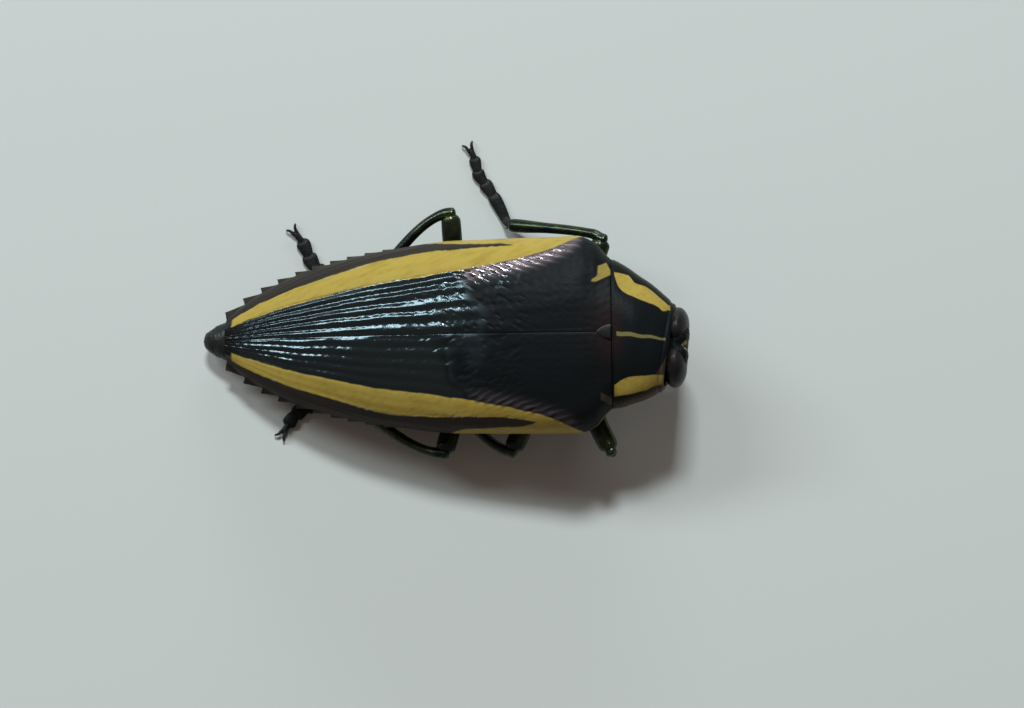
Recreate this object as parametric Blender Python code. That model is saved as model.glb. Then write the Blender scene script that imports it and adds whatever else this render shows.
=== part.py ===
"""A striped jewel beetle at rest, life size: hard plates parted by thin cuts, six lobed feet, two feelers.

+X is forward, +Y the beetle's left, +Z up, and the soles lie at z = 0. Every length below is in millimetres.
The plates of the hind body are made in a body frame: its origin is the middle of the wing cases' base, in the
plane of their side margins, and the whole frame is tilted nose-up by BODY_PITCH on the raised forelegs.
"""

import math

import bmesh
import bpy
import numpy as np
from mathutils import Matrix, Vector

MM = 0.001
CUT = 0.08

# Stance
BODY_PITCH = math.radians(9.5)
BODY_YAW = math.radians(0.5)
BODY_SHIFT = 0.138
MARGIN_HEIGHT = 5.5
BODY_REACH = 10.15

# Wing cases
CASE_LENGTH = 24.2
CASE_HALF_WIDTH = 6.04
CASE_RISE = 3.35
CASE_WALL = 0.55
CASE_POINTS = 10
BASE_LEAN = 0.12
LEAN_REACH = 5.0
TOOTH_COUNT = 10
TOOTH_STEP = 1.1
TOOTH_HEIGHT = 0.38
TOOTH_FOOT = 0.16
SCUTELLUM_LENGTH = 0.9
SCUTELLUM_HALF_WIDTH = 0.42

# Under side
TRUNK_DEPTH = 2.75
TRUNK_INSET = 0.3
TRUNK_POWER = 1.5
CHEST_LENGTH = 10.4
BELLY_PLATES = 5
TAIL_LENGTH = 1.6
TAIL_HALF_WIDTH = 1.05

# Forebody, which bends a little to the beetle's right
COLLAR_LENGTH = 3.55
COLLAR_HALF_WIDTH = 4.58
COLLAR_LEAN = 2.1
FORE_SHIFT = 0.97
FORE_YAW = math.radians(9)
FORE_ROLL = math.radians(8)
HEAD_SHIFT = 0.14
HEAD_TURN = math.radians(6)
HEAD_LENGTH = 2.0
HEAD_SUNK = 0.95
HEAD_HALF_WIDTH = 2.25
HEAD_HALF_HEIGHT = 1.85
FACE_LEAN = 0.2
EYE_RADII = (0.5, 1.12, 1.5)

# Limbs
COXA_RADIUS = 0.72
FEMUR_HALF_WIDTH = 0.58
FEMUR_HALF_HEIGHT = 0.44
TIBIA_HALF_WIDTH = 0.33
TIBIA_HALF_HEIGHT = 0.27
FOOT_SEGMENTS = 5
FOOT_HALF_WIDTH = 0.4
FOOT_HEIGHT = 0.42
KNEE_REACH = 0.4
KNEE_SIDE = 0.72
CLAW_LENGTH = 0.5
CLAW_SPREAD = math.radians(32)
FEELER_SEGMENTS = 11


def smooth(*knots):
    """The monotone cubic through (position, value) knots, as a function."""
    x, y = np.array(knots, float).T
    chord = np.diff(y) / np.diff(x)
    before, after = chord[:-1], chord[1:]
    same_way = before * after > 0
    inner = np.where(same_way, 2 * before * after / np.where(same_way, before + after, 1), 0)
    slope = np.concatenate([chord[:1], inner, chord[-1:]])

    def value(t):
        t = np.clip(t, x[0], x[-1])
        i = np.clip(np.searchsorted(x, t) - 1, 0, len(x) - 2)
        h = x[i + 1] - x[i]
        u = (t - x[i]) / h
        start = (1 + 2 * u) * (1 - u) ** 2 * y[i] + u * (1 - u) ** 2 * h * slope[i]
        return start + u * u * (3 - 2 * u) * y[i + 1] + u * u * (u - 1) * h * slope[i + 1]

    return value


# The wing cases' outline, rise and roundness, and the trunk's depth, by share of their length from the base
shoulder = ((0, 0.745), (0.015, 0.80), (0.045, 0.935), (0.09, 1))
flank = ((0.40, 0.985), (0.55, 0.915), (0.68, 0.82), (0.81, 0.67), (0.90, 0.51), (0.96, 0.365), (1, 0.235))
case_width = smooth(*shoulder, *flank)
case_rise = smooth((0, 0.80), (0.12, 0.95), (0.32, 1), (0.6, 0.90), (0.8, 0.68), (0.92, 0.47), (1, 0.29))
case_power = smooth((0, 2.35), (0.5, 2.25), (1, 2.0))
trunk_depth = smooth((0, 0.98), (0.2, 1), (0.42, 0.94), (0.62, 0.76), (0.83, 0.52), (1, 0.32))


def arc(width, rise, power, angles):
    """Points (y, z) of a quarter superellipse, from its top on the mid-plane (angle 0) to its side (90)."""
    return width * np.sin(angles) ** (2 / power), rise * np.cos(angles) ** (2 / power)


def quarter(count):
    return np.linspace(0, math.pi / 2, count)


def finish(name, colour, roughness, metallic=0.0):
    """A hard, glossy or dull coat of one colour."""
    material = bpy.data.materials.new(name)
    material.use_nodes = True
    shader = material.node_tree.nodes["Principled BSDF"]
    shader.inputs["Base Color"].default_value = (*colour, 1)
    shader.inputs["Roughness"].default_value = roughness
    shader.inputs["Metallic"].default_value = metallic
    return material


def keep(name, mesh_bm, coat, parent=None, folder=None):
    """Puts a closed bmesh in a folder as an object with its own material, faces out and smooth."""
    bmesh.ops.recalc_face_normals(mesh_bm, faces=mesh_bm.faces)
    mesh = bpy.data.meshes.new(name)
    mesh_bm.to_mesh(mesh)
    mesh_bm.free()
    mesh.shade_smooth()
    mesh.set_sharp_from_angle(angle=math.radians(35))
    if coat:
        mesh.materials.append(finish(name, *coat))
    obj = bpy.data.objects.new(name, mesh)
    obj.parent = parent
    (folder or plates).objects.link(obj)
    return obj


def loft(rings, rungs=False):
    """A closed skin through rings of equally many points, each a (count, 3) array in millimetres.

    Its ends are flat, or with rungs they follow a ring that leans, as level strips from side to side.
    """
    bm = bmesh.new()
    rows = [[bm.verts.new(Vector(point) * MM) for point in ring] for ring in rings]
    count = len(rows[0])
    for near, far in zip(rows, rows[1:]):
        for i in range(count):
            j = (i + 1) % count
            bm.faces.new((near[i], near[j], far[j], far[i]))
    for row in (rows[0], rows[-1]):
        if not rungs:
            bm.faces.new(row)
            continue
        bm.faces.new((row[0], row[1], row[-1]))
        for i in range(1, count // 2 - 1):
            bm.faces.new((row[i], row[i + 1], row[count - i - 1], row[count - i]))
        bm.faces.new((row[count // 2 - 1], row[count // 2], row[count // 2 + 1]))
    return bm


def ball(radii, centre, turn=None, segments=12, rings=8, grow=0.0):
    """An ellipsoid, turned and then placed."""
    bm = bmesh.new()
    bmesh.ops.create_uvsphere(bm, u_segments=segments, v_segments=rings, radius=1)
    size = Matrix.Diagonal((*[(r + grow) * MM for r in radii], 1))
    place = Matrix.Translation(Vector(centre) * MM) @ (turn or Matrix.Identity(4)) @ size
    bmesh.ops.transform(bm, matrix=place, verts=bm.verts)
    return bm


def sweep(path, half_width, half_height, shares, sides=8):
    """A limb: ellipses across a smooth path, at the given shares of its length. Widths are taken level."""
    points = np.array(path, float)
    run = np.concatenate([[0], np.cumsum(np.linalg.norm(np.diff(points, axis=0), axis=1))])
    along = [smooth(*zip(run / run[-1], points[:, axis])) for axis in range(3)]
    turn = np.arange(sides) * 2 * math.pi / sides
    rings, last_side = [], None
    for share in shares:
        here = np.array([f(share) for f in along])
        ahead = np.array([f(min(share + 0.02, 1)) for f in along])
        behind = np.array([f(max(share - 0.02, 0)) for f in along])
        forward = (ahead - behind) / np.linalg.norm(ahead - behind)
        side = np.cross((0, 0, 1), forward)
        side /= np.linalg.norm(side)
        if last_side is not None and side @ last_side < 0:
            side = -side
        last_side = side
        up = np.cross(forward, side)
        wide, high = half_width(share), half_height(share)
        rings.append(here + np.outer(np.cos(turn), side) * wide + np.outer(np.sin(turn), up) * high)
    return rings


def cut_away(obj, cutter, operation="DIFFERENCE"):
    """Cuts a hidden tool out of an object, or joins it on."""
    cutter.hide_render = True
    cutter.display_type = "WIRE"
    step = obj.modifiers.new(cutter.name, "BOOLEAN")
    step.operation = operation
    step.solver = "EXACT"
    step.object = cutter


def frame_empty(name, matrix, parent):
    empty = bpy.data.objects.new(name, None)
    plates.objects.link(empty)
    empty.parent = parent
    empty.matrix_local = matrix
    return empty


for old in list(bpy.data.objects):
    bpy.data.objects.remove(old)
plates = bpy.data.collections.new("jewel_beetle")
cutters = bpy.data.collections.new("cutters")
bpy.context.scene.collection.children.link(plates)
bpy.context.scene.collection.children.link(cutters)
cutters.hide_render = True

BLACK = ((0.012, 0.014, 0.018), 0.28)
PLUM = ((0.02, 0.014, 0.02), 0.3)
GREEN = ((0.03, 0.045, 0.03), 0.3, 0.4)
EYE = ((0.06, 0.055, 0.045), 0.25)

body_turn = Matrix.Rotation(BODY_YAW, 4, "Z") @ Matrix.Rotation(-BODY_PITCH, 4, "Y")
body_place = Matrix.Translation(Vector((BODY_REACH, BODY_SHIFT, MARGIN_HEIGHT)) * MM) @ body_turn
root = frame_empty("beetle", Matrix.Identity(4), None)
body = frame_empty("body_frame", body_place, root)


# ---- Wing cases: two domed shells that meet at the suture, with a saw edge behind


def tooth_rise(back):
    """How far the saw edge stands out at this distance behind the base: a tooth rises slowly, then drops."""
    from_tip = (CASE_LENGTH - back) / TOOTH_STEP
    number = math.floor(from_tip + 1e-6)
    if number >= TOOTH_COUNT:
        return 0.0
    size = TOOTH_HEIGHT * (1 - 0.75 * number / TOOTH_COUNT)
    return size * (1 - (from_tip - number))


def upright(ring, back):
    """Leans a ring forward above the margins, most at the cases' base, so that the base stands upright."""
    ring[:, 0] += BASE_LEAN * np.maximum(ring[:, 2], 0) * max(0, 1 - back / LEAN_REACH)
    return ring


def suture(back):
    """Half the space between the cases: the thin cut, and ahead of it the notch that holds the scutellum."""
    return CUT / 2 + max(0.0, (SCUTELLUM_HALF_WIDTH + 2 * CUT) * (1 - back / (SCUTELLUM_LENGTH + CUT)))


def case_ring(back):
    """Outer arc from the suture to the margin, the margin's under edge, and the inner arc back."""
    share = back / CASE_LENGTH
    width = CASE_HALF_WIDTH * case_width(share)
    rise, power, seam = CASE_RISE * case_rise(share), case_power(share), suture(back)
    y, z = arc(width - seam, rise, power, quarter(CASE_POINTS))
    y[-1] += tooth_rise(back)
    y_in, z_in = arc(width - CASE_WALL - seam - 0.1, rise - CASE_WALL, power, quarter(5)[::-1])
    y_all = np.concatenate([y, [width - 0.45 - seam], y_in]) + seam
    z_all = np.concatenate([z, [-0.12], z_in])
    return upright(np.column_stack([np.full(len(y_all), -back), y_all, z_all]), back)


front_shares = (0.003, 0.015, 0.03, 0.05, 0.085, 0.14, 0.22, 0.3, 0.4, 0.5)
front_stations = [CASE_LENGTH * share for share in front_shares]
tooth_tips = [CASE_LENGTH - TOOTH_STEP * number for number in range(TOOTH_COUNT)]
tooth_feet = [tip + TOOTH_FOOT * TOOTH_STEP for tip in tooth_tips[1:]]
stations = sorted([*front_stations, SCUTELLUM_LENGTH + CUT, *tooth_tips, *tooth_feet])
case_rings = [case_ring(back) for back in stations]
for back, ring in zip(stations, case_rings):
    if back in tooth_feet:
        ring[CASE_POINTS - 1, 1] -= tooth_rise(back)

for side, name in ((1, "elytron_left"), (-1, "elytron_right")):
    keep(name, loft([ring * (1, side, 1) for ring in case_rings]), PLUM, body)

scutellum_rings = []
for back, half in ((CUT, SCUTELLUM_HALF_WIDTH), (SCUTELLUM_LENGTH, 0.03)):
    top = CASE_RISE * case_rise(back / CASE_LENGTH) + 0.03
    low = top - CASE_WALL
    corners = [(-back, -half, low), (-back, half, low), (-back, half, top), (-back, -half, top)]
    scutellum_rings.append(upright(np.array(corners), back))
keep("scutellum", loft(scutellum_rings), BLACK, body)


# ---- Chest and belly: one full trunk under the cases, parted across into the chest and five belly plates


def trunk_ring(back, lean=0.0):
    """The trunk's outline: a roof under the wing cases and a keel below the margins, leaning back below."""
    share = back / CASE_LENGTH
    width = CASE_HALF_WIDTH * case_width(share)
    rise, power = CASE_RISE * case_rise(share), case_power(share)
    gap = CASE_WALL + CUT
    y_roof, z_roof = arc(width - gap - 0.15, rise - gap, power, quarter(5)[::-1])
    y_keel, z_keel = arc(width - TRUNK_INSET, TRUNK_DEPTH * trunk_depth(share), TRUNK_POWER, quarter(6))
    z_keel = -z_keel - 0.24
    y_half = np.concatenate([y_keel, [width - gap - 0.15], y_roof])
    z_half = np.concatenate([z_keel, [-0.2], z_roof])
    y = np.concatenate([y_half, -y_half[-2:0:-1]])
    z = np.concatenate([z_half, z_half[-2:0:-1]])
    x = -back - lean * np.clip(-z / TRUNK_DEPTH, 0, 1)
    return np.column_stack([x, y, z])


chest_leans = [(CUT + 0.02, COLLAR_LEAN), (1.2, 1.6), (2.6, 0.9), (4.6, 0.4), (7.2, 0), (CHEST_LENGTH, 0)]
chest_rings = [trunk_ring(back, lean) for back, lean in chest_leans]
chest = keep("pterothorax", loft(chest_rings, rungs=True), BLACK, body)

belly_edges = np.linspace(CHEST_LENGTH, CASE_LENGTH, BELLY_PLATES + 1)
for number, (start, end) in enumerate(zip(belly_edges, belly_edges[1:]), 1):
    rings = [trunk_ring(back) for back in np.linspace(start + CUT, end, 3)]
    keep(f"abdomen_{number}", loft(rings), BLACK, body)

tail_scale = smooth((0, 1), (0.35, 0.95), (0.7, 0.78), (0.92, 0.5), (1, 0.25))
tail_rings = []
turn = np.arange(12) * math.pi / 6
for share in (0, 0.2, 0.4, 0.6, 0.8, 0.93, 1):
    size = tail_scale(share)
    y = TAIL_HALF_WIDTH * size * np.cos(turn)
    z = 0.72 * size * np.sin(turn) - 0.1
    tail_rings.append(np.column_stack([np.full(12, -CASE_LENGTH - CUT - TAIL_LENGTH * share), y, z]))
keep("abdomen_tip", loft(tail_rings), BLACK, body)


# ---- Collar (prothorax): a tapering ring that turns and rolls a little to the right towards the head


def fore_turn(share):
    """The frame of the forebody's cross-section at a share of the collar's length."""
    shift = Vector((COLLAR_LENGTH * share, -FORE_SHIFT * share, 0.12 * share)) * MM
    turned = Matrix.Rotation(-FORE_YAW * share, 4, "Z") @ Matrix.Rotation(-FORE_ROLL * share, 4, "X")
    return Matrix.Translation(shift) @ turned


collar_width = smooth((0, 1), (0.12, 0.965), (0.38, 0.87), (0.66, 0.762), (0.9, 0.635), (1, 0.568))
collar_rise = smooth((0, 2.72), (0.3, 2.68), (0.7, 2.2), (1, 1.55))
collar_depth = smooth((0, 2.75), (0.4, 2.7), (1, 2.15))


def collar_ring(share):
    """Domed above the side edges, keeled below; its base leans back below to carry the front coxae."""
    width = COLLAR_HALF_WIDTH * collar_width(share)
    y_top, z_top = arc(width, collar_rise(share), 2.15, quarter(7)[::-1])
    y_low, z_low = arc(width, collar_depth(share), 1.6, quarter(7)[:-1])
    y_half = np.concatenate([y_low, y_top])
    z_half = np.concatenate([-z_low, z_top])
    y = np.concatenate([y_half, -y_half[-2:0:-1]])
    z = np.concatenate([z_half, z_half[-2:0:-1]])
    x = -COLLAR_LEAN * (1 - share) ** 2 * np.clip(-z / TRUNK_DEPTH, 0, 1) + CUT * (1 - share)
    x += BASE_LEAN * np.maximum(z, 0) * (1 - share)
    frame = np.array(fore_turn(share))
    frame[:3, 3] /= MM
    return np.column_stack([x, y, z]) @ frame[:3, :3].T + frame[:3, 3]


collar_rings = [collar_ring(share) for share in (0, 0.08, 0.2, 0.4, 0.6, 0.8, 0.93, 1)]
collar = keep("prothorax", loft(collar_rings, rungs=True), BLACK, body)


# ---- Head: a short capsule with a steep face, two large eyes that reach up to the crown, jaws and feelers

head_turn = Matrix.Translation((0, HEAD_SHIFT * MM, 0)) @ Matrix.Rotation(HEAD_TURN, 4, "Z")
neck = frame_empty("neck", fore_turn(1) @ head_turn, body)
head_size = smooth((0, 0.70), (0.4, 0.80), (0.55, 0.95), (0.7, 0.98), (0.85, 0.88), (0.95, 0.66), (1, 0.42))


def head_ring(share, grow=0.0):
    """An upright oval, narrower at the mouth, that sinks a little forwards."""
    turn = np.arange(20) * math.pi / 10
    narrow = 1 - 0.16 * (1 - np.sin(turn))
    y = (HEAD_HALF_WIDTH * head_size(share) + grow) * np.cos(turn) * narrow
    z = (HEAD_HALF_HEIGHT * head_size(share) + grow) * np.sin(turn) - 0.3 - 0.4 * share
    x = HEAD_LENGTH * share - HEAD_SUNK + grow * (2 * share - 1) + FACE_LEAN * share * (z + 0.6)
    return np.column_stack([x, y, z])


HEAD_SHARES = (0, 0.4, 0.55, 0.7, 0.82, 0.91, 0.97, 1)
head = keep("head", loft([head_ring(share) for share in HEAD_SHARES]), BLACK, neck)
hollow = keep("head_hollow", loft([head_ring(share, CUT) for share in HEAD_SHARES]), None, neck, cutters)
cut_away(collar, hollow)

for side, name in ((1, "left"), (-1, "right")):
    seat = (0.56, side * 1.25, 0.05)
    lean = Matrix.Rotation(side * math.radians(24), 4, "X")
    keep(f"eye_{name}", ball(EYE_RADII, seat, lean, 14, 10), EYE, neck)
    socket = keep(f"eye_socket_{name}", ball(EYE_RADII, seat, lean, 14, 10, CUT), None, neck, cutters)
    cut_away(head, socket)
    if side > 0:  # the head turns this eye back against the collar's rim
        cut_away(collar, socket)

    jaw_path = [(0.2, side * 0.6, -2.55), (0.35, side * 0.5, -2.85), (0.3, side * 0.2, -3.15)]
    jaw_size = smooth((0, 0.33), (0.6, 0.27), (1, 0.1))
    keep(f"mandible_{name}", loft(sweep(jaw_path, jaw_size, jaw_size, (0, 0.35, 0.7, 1), 6)), BLACK, neck)

    feeler_path = [
        (0.6, side * 0.9, -2.2),
        (0.38, side * 1.34, -2.5),
        (-0.3, side * 1.5, -2.72),
        (-1.3, side * 1.55, -2.75),
        (-2.3, side * 1.6, -2.75),
    ]
    joints = np.arange(FEELER_SEGMENTS)
    shares = np.sort(np.concatenate([(joints + 0.12) / FEELER_SEGMENTS, (joints + 0.9) / FEELER_SEGMENTS]))
    saw_width = lambda share: 0.26 + 0.14 * (share > 0.3) * ((share * FEELER_SEGMENTS) % 1 > 0.5)
    even_height = lambda share: 0.26
    keep(f"antenna_{name}", loft(sweep(feeler_path, saw_width, even_height, shares, 6)), BLACK, neck)


# ---- Legs: coxa, femur, tibia and a five-lobed foot with two claws


def body_point(x, y, z):
    """A point of the body frame, in millimetres above the floor."""
    return np.array(body_place @ (Vector((x, y, z)) * MM)) / MM


femur_swell = smooth((0, 0.45), (0.12, 0.75), (0.4, 1), (0.75, 1), (0.94, 0.9), (1, 0.68))
tibia_swell = smooth((0, 0.55), (0.06, 0.8), (0.2, 0.8), (0.6, 0.9), (0.92, 1.22), (1, 1))
FEMUR_SHARES = (0, 0.07, 0.2, 0.4, 0.6, 0.78, 0.94, 1)
TIBIA_SHARES = (0, 0.04, 0.08, 0.13, 0.2, 0.6, 0.92, 1)
foot_edges = (0, 0.36, 0.54, 0.7, 0.85, 1)
foot_widths = (1.03, 1.05, 0.95, 0.82)


def foot_rings(path, breadth):
    """Five lobed segments with flat soles on the floor and thin necks, from the ankle to the claws."""
    points = np.array(path, float)
    run = np.concatenate([[0], np.cumsum(np.linalg.norm(np.diff(points, axis=0), axis=1))])
    along = [smooth(*zip(run / run[-1], points[:, axis])) for axis in range(2)]
    rings = []
    for number, (start, end) in enumerate(zip(foot_edges, foot_edges[1:])):
        last = number == FOOT_SEGMENTS - 1
        for local, wide, low in ((0.04, 0.6, 0.1), (0.42, 0.86, 0), (0.9, 1, 0)):
            share = start + (end - start) * local
            wide = FOOT_HALF_WIDTH * (0.5 if last else wide * foot_widths[number] * breadth)
            here = np.array([f(share) for f in along])
            step = np.array([f(min(share + 0.02, 1)) - f(max(share - 0.02, 0)) for f in along])
            side = np.array([-step[1], step[0]]) / np.linalg.norm(step)
            lift = 0.2 * max(0, 1 - share / 0.16)
            across = np.array([-0.8, 0.8, 1, 0.7, 0, -0.7, -1]) * wide
            height = np.array([0, 0, 0.4, 0.86, 1, 0.86, 0.4]) * FOOT_HEIGHT + low * (across * 0 + 1)
            height = np.minimum(height, FOOT_HEIGHT) + lift
            rings.append(np.column_stack([here[0] + across * side[0], here[1] + across * side[1], height]))
    return rings


def claw(path, side):
    """A hooked claw beside the middle of the foot's end (side 1 or -1), its point on the floor."""
    end, before = np.array(path[-1], float), np.array(path[-2], float)
    straight = (end - before) / np.linalg.norm(end - before)
    across = np.array([-straight[1], straight[0]]) * side
    ahead = straight * math.cos(CLAW_SPREAD) + across * math.sin(CLAW_SPREAD)
    root_point = np.append(end - straight * 0.3 + across * 0.15, 0.25)
    bend = np.append(end + across * 0.18 + ahead * 0.45 * CLAW_LENGTH, 0.3)
    tip = np.append(end + across * 0.15 + ahead * 0.85 * CLAW_LENGTH, 0.08)
    size = smooth((0, 0.12), (0.6, 0.12), (1, 0.07))
    return loft(sweep([root_point, bend, tip], size, size, (0, 0.3, 0.6, 0.85, 1), 6))


def leg(name, carrier, coxa_at, coxa_radii, knee, ankle, toes, sag=0.0, breadth=1.0):
    """Builds one leg from its coxa in the body frame to the toes on the floor."""
    hip = body_point(*coxa_at)
    knee, ankle = np.array(knee, float), np.array(ankle, float)
    keep(f"{name}_coxa", ball(coxa_radii, coxa_at, None, 10, 6), BLACK, body)
    pocket = keep(f"{name}_pocket", ball(coxa_radii, coxa_at, None, 10, 6, CUT), None, body, cutters)
    cut_away(carrier, pocket)

    reach = (knee - hip) / np.linalg.norm(knee - hip)
    start = hip + reach * (coxa_radii[1] + 2.5 * CUT) + (0, 0, -0.3)
    middle = (start + knee) / 2 + np.array((sag, 0, 0))
    keep(f"{name}_femur", loft(sweep(
        [start, middle, knee],
        lambda share: FEMUR_HALF_WIDTH * femur_swell(share),
        lambda share: FEMUR_HALF_HEIGHT * femur_swell(share),
        FEMUR_SHARES, 8,
    )), GREEN, root)

    outward = (knee - middle) / np.linalg.norm(knee - middle)
    shin = (ankle - knee) / np.linalg.norm(ankle - knee)
    fold = outward @ shin
    beside = (shin - outward * fold) / np.linalg.norm(shin - outward * fold)
    hook = [
        knee + outward * KNEE_REACH - beside * 0.35,
        knee + outward * (KNEE_REACH + 0.02) + beside * 0.1,
        knee + outward * (0.45 + 0.5 * fold) + beside * KNEE_SIDE,
    ]
    keep(f"{name}_tibia", loft(sweep(
        [*hook, ankle],
        lambda share: TIBIA_HALF_WIDTH * tibia_swell(share),
        lambda share: TIBIA_HALF_HEIGHT * tibia_swell(share),
        TIBIA_SHARES, 8,
    )), GREEN, root)

    heel = ankle[:2] + (np.array(toes[0]) - ankle[:2]) * 0.12 / np.linalg.norm(np.array(toes[0]) - ankle[:2])
    toes = [heel, *toes]
    foot = keep(f"{name}_tarsus", loft(foot_rings(toes, breadth)), BLACK, root)
    for side in (1, -1):
        hook = keep(f"{name}_claw_{side}", claw(toes, side), None, root, cutters)
        cut_away(foot, hook, "UNION")


GLOBE = (COXA_RADIUS, COXA_RADIUS * 1.1, COXA_RADIUS)
PLATE = (COXA_RADIUS * 1.15, COXA_RADIUS * 1.6, COXA_RADIUS * 0.8)

leg("foreleg_left", collar, (-0.75, 1.35, -2.45), GLOBE, (9.5, 5.88, 3.6), (3.8, 7.3, 0.8),
    [(3.05, 8.8), (2.45, 9.75), (1.9, 10.55), (1.62, 11.55), (1.3, 12.25)], sag=-0.6)
leg("foreleg_right", collar, (-0.75, -1.35, -2.45), GLOBE, (10.0, -6.75, 3.7), (8.55, -2.4, 0.8),
    [(6.2, -1.9), (3.3, -1.7)], sag=-0.8)
leg("midleg_left", chest, (-4.1, 1.4, -2.75), GLOBE, (3.3, 5.4, 1.6), (-1.8, 3.3, 0.6),
    [(-4.3, 2.5), (-6.6, 2.0)])
leg("midleg_right", chest, (-4.1, -1.4, -2.75), GLOBE, (4.1, -6.75, 2.5), (-0.1, -3.5, 0.62),
    [(-2.8, -2.9), (-5.2, -2.5)])
leg("hindleg_left", chest, (-9.35, 1.5, -2.5), PLATE, (0.18, 7.58, 2.5), (-4.9, 3.6, 0.8),
    [(-7.2, 3.9), (-8.45, 4.75), (-9.2, 6.2), (-9.78, 6.98)], sag=-0.25, breadth=1.2)
leg("hindleg_right", chest, (-9.35, -1.5, -2.5), PLATE, (-0.15, -6.85, 2.4), (-5.9, -4.1, 0.8),
    [(-8.3, -4.0), (-9.65, -4.65), (-10.1, -5.3), (-10.45, -5.85)], breadth=1.2)


# ---- Place: the middle of the whole beetle's box comes to the origin, on the floor

bpy.context.view_layer.update()
outline = [
    obj.matrix_world @ vertex.co
    for obj in (*plates.objects, *(tool for tool in cutters.objects if "claw" in tool.name))
    if obj.type == "MESH"
    for vertex in obj.data.vertices
]
lowest, highest = np.min(outline, axis=0), np.max(outline, axis=0)
root.location = (-(lowest[0] + highest[0]) / 2, -(lowest[1] + highest[1]) / 2, 0)
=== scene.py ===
import math

import bpy
import numpy as np
from mathutils import Matrix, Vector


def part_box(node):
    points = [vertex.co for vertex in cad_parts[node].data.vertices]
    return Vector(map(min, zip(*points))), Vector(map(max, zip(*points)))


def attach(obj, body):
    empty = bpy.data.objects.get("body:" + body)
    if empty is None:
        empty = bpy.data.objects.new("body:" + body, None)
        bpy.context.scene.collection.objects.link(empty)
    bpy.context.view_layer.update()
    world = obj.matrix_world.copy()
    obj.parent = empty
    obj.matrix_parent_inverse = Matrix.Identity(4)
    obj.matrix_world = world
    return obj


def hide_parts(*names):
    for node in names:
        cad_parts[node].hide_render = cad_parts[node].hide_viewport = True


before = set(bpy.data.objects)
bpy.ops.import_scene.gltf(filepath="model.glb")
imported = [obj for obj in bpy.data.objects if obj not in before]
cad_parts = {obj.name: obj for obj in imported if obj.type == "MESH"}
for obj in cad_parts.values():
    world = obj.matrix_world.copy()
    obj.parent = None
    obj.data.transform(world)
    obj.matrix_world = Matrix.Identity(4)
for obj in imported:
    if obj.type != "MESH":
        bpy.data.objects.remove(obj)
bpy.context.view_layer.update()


# ---- Wing cases
# Two domed shells of glossy black horn that meet down the middle of the back. A yellow band runs down each side. Five
# rounded ribs run along inside it, parted by grooves with rows of pits, and the rear edge is cut into a saw. All of
# the hind body is worked out in a body frame, tilted nose-up on the front legs.

CASE_LENGTH, CASE_HALF_WIDTH, CASE_RISE, CASE_WALL = 24.2, 6.04, 3.35, 0.55
SCUTELLUM_LENGTH, SCUTELLUM_HALF_WIDTH = 0.9, 0.42
TOOTH_COUNT, TOOTH_STEP, TOOTH_HEIGHT = 10, 1.1, 0.38
CASE_START = 0.003
SEAM = 0.015
BASE_LEAN = 0.12
MM = 0.001
BODY_PITCH, BODY_YAW, BODY_SHIFT = math.radians(9.5), math.radians(0.5), 0.138
MARGIN_HEIGHT = 5.5
INNER_RIBS = 5
CASE_ROWS, CASE_POINTS = 430, 150


def smooth(*knots):
    """The monotone cubic through (position, value) knots, as a function of an array."""
    x, y = np.array(knots, float).T
    chord = np.diff(y) / np.diff(x)
    before, after = chord[:-1], chord[1:]
    same_way = before * after > 0
    inner = np.where(same_way, 2 * before * after / np.where(same_way, before + after, 1), 0)
    slope = np.concatenate([chord[:1], inner, chord[-1:]])

    def value(t):
        t = np.clip(t, x[0], x[-1])
        i = np.clip(np.searchsorted(x, t) - 1, 0, len(x) - 2)
        h = x[i + 1] - x[i]
        u = (t - x[i]) / h
        start = (1 + 2 * u) * (1 - u) ** 2 * y[i] + u * (1 - u) ** 2 * h * slope[i]
        return start + u * u * (3 - 2 * u) * y[i + 1] + u * u * (u - 1) * h * slope[i + 1]

    return value


case_width = smooth((0, 0.745), (0.015, 0.80), (0.045, 0.935), (0.09, 1), (0.40, 0.985), (0.55, 0.915),
                    (0.68, 0.82), (0.81, 0.67), (0.90, 0.51), (0.96, 0.365), (1, 0.235))
case_rise = smooth((0, 0.80), (0.12, 0.95), (0.32, 1), (0.6, 0.90), (0.8, 0.68), (0.92, 0.47), (1, 0.29))
case_power = smooth((0, 2.35), (0.5, 2.25), (1, 2.0))


def even_arc(width, rise, power, count):
    """A quarter superellipse from its top to its side, y = width sin(a)^(2/p) and z = rise cos(a)^(2/p).

    Each ring has its own width, rise and power. The points are evenly spaced along the curve: the angle is read
    back from the running length, with every ring's length shifted by twice its number so that one call does all.
    """
    width, rise, power = (np.reshape(value, (-1, 1)) for value in (width, rise, power))
    angle = np.linspace(0, math.pi / 2, 300)
    y, z = width * np.sin(angle) ** (2 / power), rise * np.cos(angle) ** (2 / power)
    run = np.cumsum(np.hypot(np.diff(y, prepend=y[:, :1]), np.diff(z, prepend=z[:, :1])), axis=1)
    length = run[:, -1:]
    shift = 2.0 * np.arange(len(run))[:, None]
    wanted = np.linspace(0, 1, count) + shift
    even = np.interp(wanted.ravel(), (run / length + shift).ravel(), np.tile(angle, len(run)))
    even = even.reshape(wanted.shape)
    return width * np.sin(even) ** (2 / power), rise * np.cos(even) ** (2 / power), length


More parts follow.
